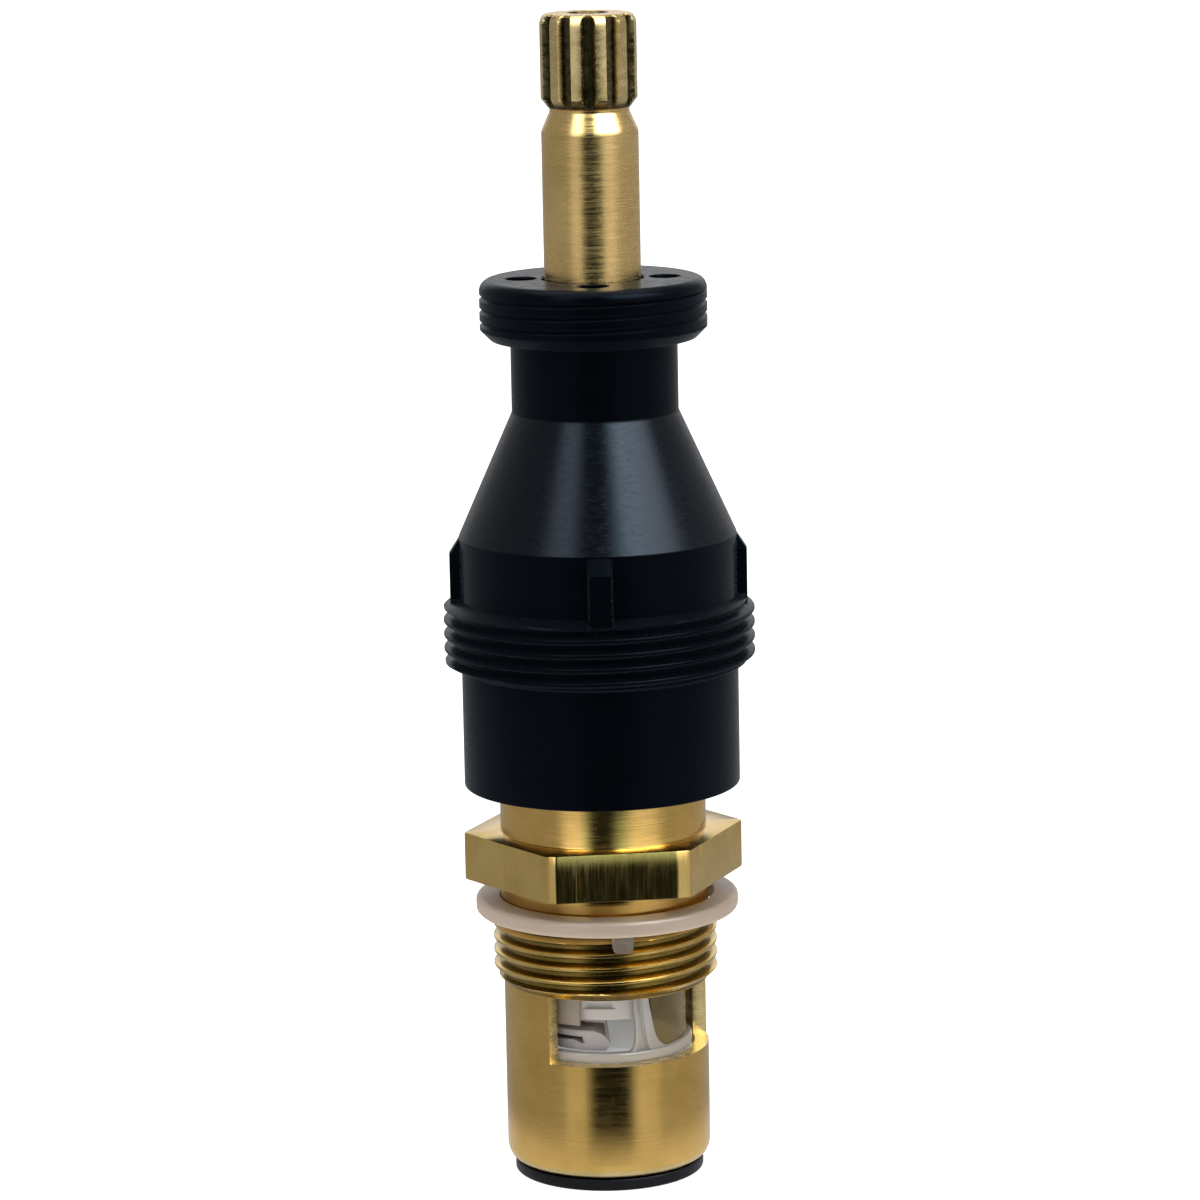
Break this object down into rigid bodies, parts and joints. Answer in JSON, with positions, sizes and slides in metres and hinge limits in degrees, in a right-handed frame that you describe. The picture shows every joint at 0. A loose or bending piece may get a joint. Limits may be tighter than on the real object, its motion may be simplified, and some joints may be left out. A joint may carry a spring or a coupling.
{
  "type": "ceramic disc tap cartridge",
  "caption": "Tap cartridge with a long splined brass spindle, black extension sleeve, hexagon brass body with side window, ceramic discs and rubber seat seal.",
  "frame": {"origin": "centre of the seat seal's underside, on the spindle's axis: the cartridge stands on it", "axes": "+Z along the spindle's axis, up to the splined head; -Y is the front of the picture, +X its right"},
  "size_m": [0.032, 0.032, 0.1204],
  "materials": {
    "spindle_brass": "turned, satin",
    "body_brass": "turned and milled, satin",
    "steel": "bright",
    "black_plastic": "moulded, satin",
    "black_rubber": "matte",
    "translucent_nylon": "milky, translucent",
    "clear_plastic": "milky, clear",
    "white_plastic": "moulded, satin",
    "white_ceramic": "ground, lapped"
  },
  "bodies": {
    "cartridge": {"cartridge_body": "body_brass", "extension_sleeve": "black_plastic", "sealing_washer": "translucent_nylon", "seat_seal": "black_rubber", "seal_support_ring": "white_plastic", "fixed_disc": "white_ceramic", "flow_cage": "clear_plastic", "thrust_washer": "white_plastic", "stop_pin": "steel", "circlip_washer": "spindle_brass", "sleeve_grip_ring": "black_rubber"},
    "spindle": {"extension_spindle": "spindle_brass", "coupling_stud": "steel", "cartridge_spindle": "spindle_brass", "spindle_circlip": "steel", "upper_o_ring": "black_rubber", "lower_o_ring": "black_rubber", "driver": "white_plastic", "moving_disc": "white_ceramic"}
  },
  "joints": [
    {"name": "spindle_turn", "type": "hinge", "parent": "cartridge", "child": "spindle", "pos_m": [0, 0, 0.0205], "axis": [0, 0, 1], "range_deg": [0, 180]}
  ]
}
